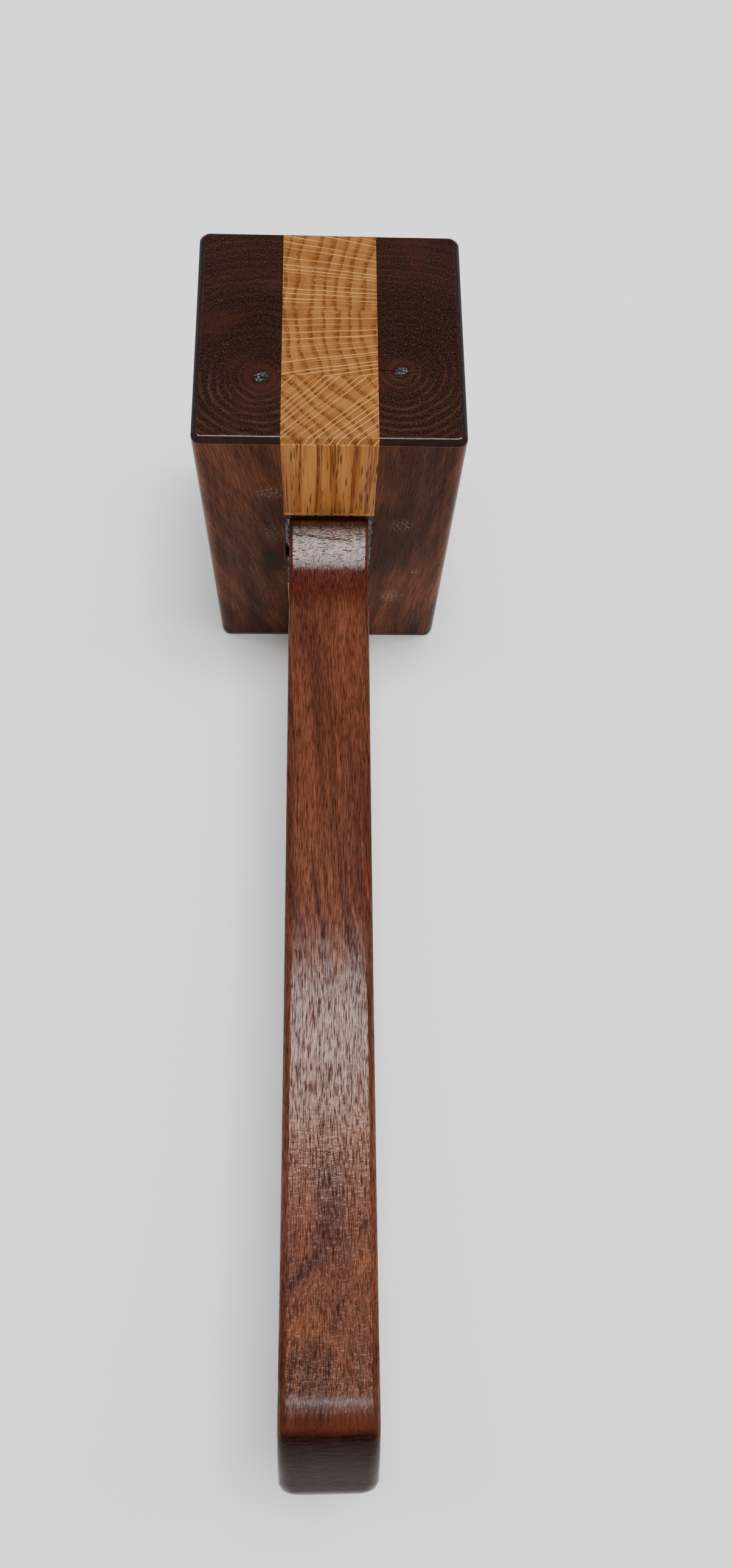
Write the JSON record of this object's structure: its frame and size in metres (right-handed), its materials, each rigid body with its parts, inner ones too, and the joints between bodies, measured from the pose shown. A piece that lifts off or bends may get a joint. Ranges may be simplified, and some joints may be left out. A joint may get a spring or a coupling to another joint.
{
  "type": "wooden mallet",
  "caption": "Wooden joiner's mallet: rectangular laminated head of dark walnut cheeks and an oak core, on a flared walnut handle whose tenon runs through the head.",
  "frame": {"origin": "centre of the lower striking face of the head", "axes": "+Z through the head from the lower to the upper striking face; +Y away from the user, from the head's front face to its back face, so the handle leaves the head along -Y; +X across the two cheeks"},
  "size_m": [0.08, 0.3492, 0.1188],
  "materials": {
    "cheek_walnut": "dark walnut, wiped varnish, satin",
    "handle_walnut": "red-brown walnut, varnished, semi-gloss",
    "core_oak": "golden oak, varnished, satin",
    "wedge_oak": "oak, planed flush, satin",
    "dark_epoxy": "grey-black filled epoxy, sanded, semi-gloss",
    "silver_epoxy": "black epoxy with silvery flecks, sanded, semi-gloss"
  },
  "bodies": {
    "root": {"left_cheek": "cheek_walnut", "right_cheek": "cheek_walnut", "upper_core_front": "core_oak", "upper_core_rear": "core_oak", "lower_core_front": "core_oak", "lower_core_rear": "core_oak", "handle": "handle_walnut", "tenon_wedge_upper": "wedge_oak", "tenon_wedge_lower": "wedge_oak", "mortise_fill_left": "dark_epoxy", "mortise_fill_right": "dark_epoxy", "pith_fill_left_upper": "silver_epoxy", "pith_fill_left_lower": "silver_epoxy", "pith_fill_right_upper": "silver_epoxy", "pith_fill_right_lower": "silver_epoxy"}
  },
  "joints": []
}
